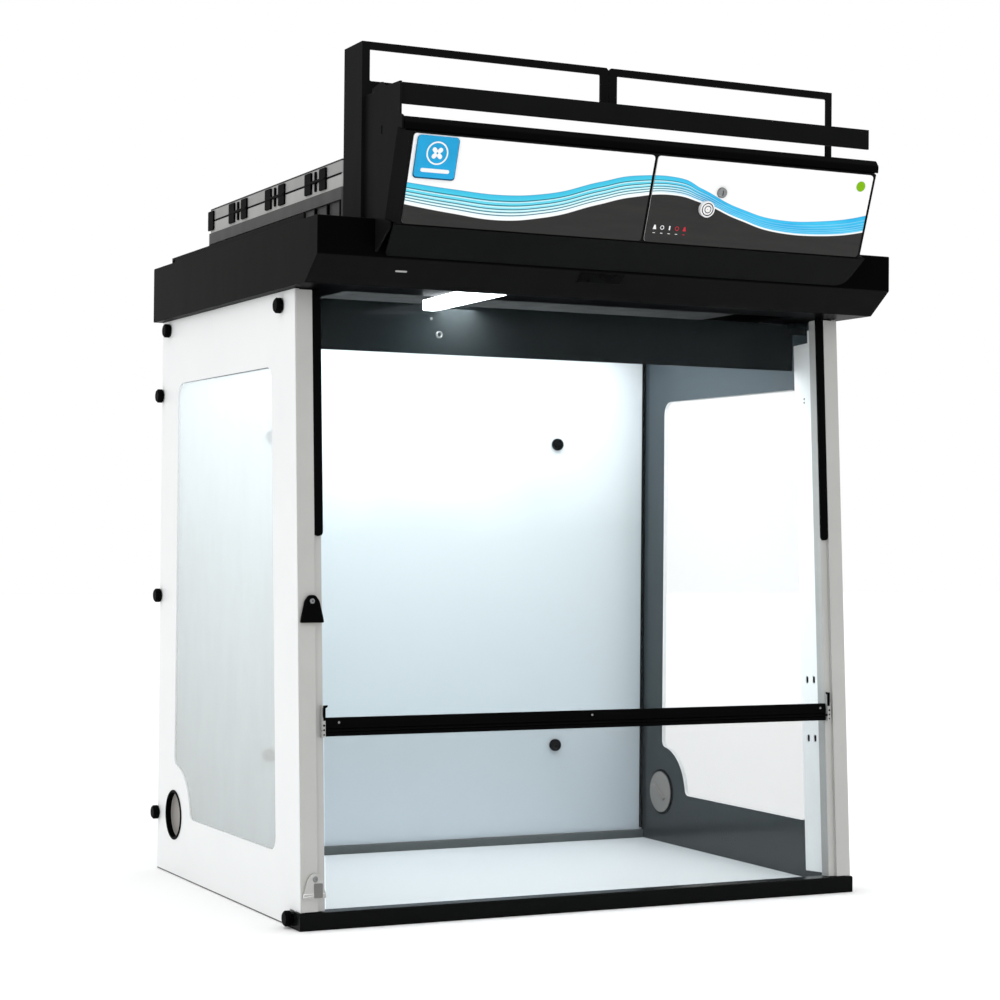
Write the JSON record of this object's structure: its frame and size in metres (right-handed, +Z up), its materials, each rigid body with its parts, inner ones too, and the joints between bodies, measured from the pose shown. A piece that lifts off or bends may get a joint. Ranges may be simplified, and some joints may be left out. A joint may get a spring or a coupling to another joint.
{
  "type": "ductless fume hood",
  "caption": "Bench-top filtering fume hood: white enclosure with clear sides, a hinged front flap under a fixed sash, a black filter head and a leaning control console.",
  "frame": {"origin": "middle of the bounding box's underside, where the hood stands on the bench", "axes": "+Z up, +Y towards the hood's back wall, +X to the user's right"},
  "size_m": [0.8, 0.7184, 1.0508],
  "materials": {
    "white_sheet": "satin white paint",
    "worktop_white": "smooth white laminate",
    "back_panel_frosted": "frosted pale acrylic",
    "clear_pane": "polished clear acrylic",
    "post_grey": "satin anodised",
    "black_metal": "satin black powder coat",
    "black_plastic": "fine-grained black moulding",
    "baffle_black": "glossy black acrylic",
    "lamp_opal": "opal diffuser",
    "port_grey": "grey moulding",
    "clear_plastic": "smoky clear moulding",
    "fittings_steel": "brushed",
    "fascia_print": "gloss white with a blue wave and a dark foot",
    "button_chrome": "polished",
    "module_light": "light grey moulding",
    "filter_medium": "granular carbon",
    "fan_dark": "dark moulding"
  },
  "bodies": {
    "hood": {"left_side_frame": "white_sheet", "right_side_frame": "white_sheet", "left_cheek": "white_sheet", "right_cheek": "white_sheet", "worktop": "worktop_white", "back_panel": "back_panel_frosted", "left_window": "clear_pane", "right_window": "clear_pane", "upper_pane": "clear_pane", "left_post": "post_grey", "right_post": "post_grey", "rear_rail": "post_grey", "front_sill": "black_metal", "head_tray": "black_metal", "console_bezel": "black_metal", "console_apron": "black_metal", "left_console_side": "black_metal", "lip_deck": "black_metal", "left_guide_frame": "black_metal", "right_guide_frame": "black_metal", "hinge_bar": "black_metal", "filter_housing": "black_metal", "left_guide_strip": "black_plastic", "right_guide_strip": "black_plastic", "console_rim": "black_plastic", "upper_post_cap": "black_plastic", "power_inlet": "black_plastic", "left_port_ring": "black_plastic", "right_port_ring": "black_plastic", "left_knob_top_rear": "black_plastic", "left_knob_top_front": "black_plastic", "left_knob_rear_high": "black_plastic", "left_knob_rear_mid": "black_plastic", "left_knob_rear_low": "black_plastic", "left_knob_front_low": "black_plastic", "right_knob_top_rear": "black_plastic", "right_knob_top_front": "black_plastic", "right_knob_rear_high": "black_plastic", "right_knob_rear_mid": "black_plastic", "right_knob_rear_low": "black_plastic", "right_knob_front_low": "black_plastic", "ceiling_baffle": "baffle_black", "lamp_lens": "lamp_opal", "lower_post_cap": "clear_plastic", "left_hinge_bracket": "fittings_steel", "right_hinge_bracket": "fittings_steel", "hinge_pin": "fittings_steel", "left_fascia": "fascia_print", "fan_shroud": "module_light", "exhaust_cover": "module_light", "carbon_filter": "filter_medium", "fan_motor": "fan_dark"},
    "flap": {"flap_rail": "black_metal", "flap_pane": "clear_pane"},
    "control_door": {"control_panel": "fascia_print"},
    "button": {"power_button": "button_chrome"},
    "lock": {"lock_cylinder": "fittings_steel"},
    "left_cover": {"left_port_cover": "port_grey"},
    "right_cover": {"right_port_cover": "port_grey"},
    "fan": {"fan_impeller": "fan_dark"}
  },
  "joints": [
    {"name": "flap_hinge", "type": "hinge", "parent": "hood", "child": "flap", "pos_m": [0, -0.19905, 0.23365], "axis": [-1, 0, 0], "range_deg": [0, 175]},
    {"name": "control_door_hinge", "type": "hinge", "parent": "hood", "child": "control_door", "pos_m": [0, -0.35895, 0.92356], "axis": [-1, 0, 0], "range_deg": [0, 80]},
    {"name": "power_button_push", "type": "slide", "parent": "control_door", "child": "button", "axis": [0, 0.9421, 0.3355], "range_m": [0, 0.003], "stiffness_N_per_m": 400},
    {"name": "lock_turn", "type": "hinge", "parent": "control_door", "child": "lock", "pos_m": [0.098, -0.34627, 0.88796], "axis": [0, -0.9421, -0.3355], "range_deg": [0, 90]},
    {"name": "left_cover_turn", "type": "hinge", "parent": "hood", "child": "left_cover", "pos_m": [-0.3845, 0.2792, 0.0814], "axis": [-1, 0, 0], "range_deg": [0, 90]},
    {"name": "right_cover_turn", "type": "hinge", "parent": "hood", "child": "right_cover", "pos_m": [0.3845, 0.2792, 0.0814], "axis": [1, 0, 0], "range_deg": [0, 90]},
    {"name": "fan_spin", "type": "hinge", "parent": "hood", "child": "fan", "pos_m": [0, 0.08175, 0.9088], "axis": [0, 0, 1], "continuous": true}
  ]
}
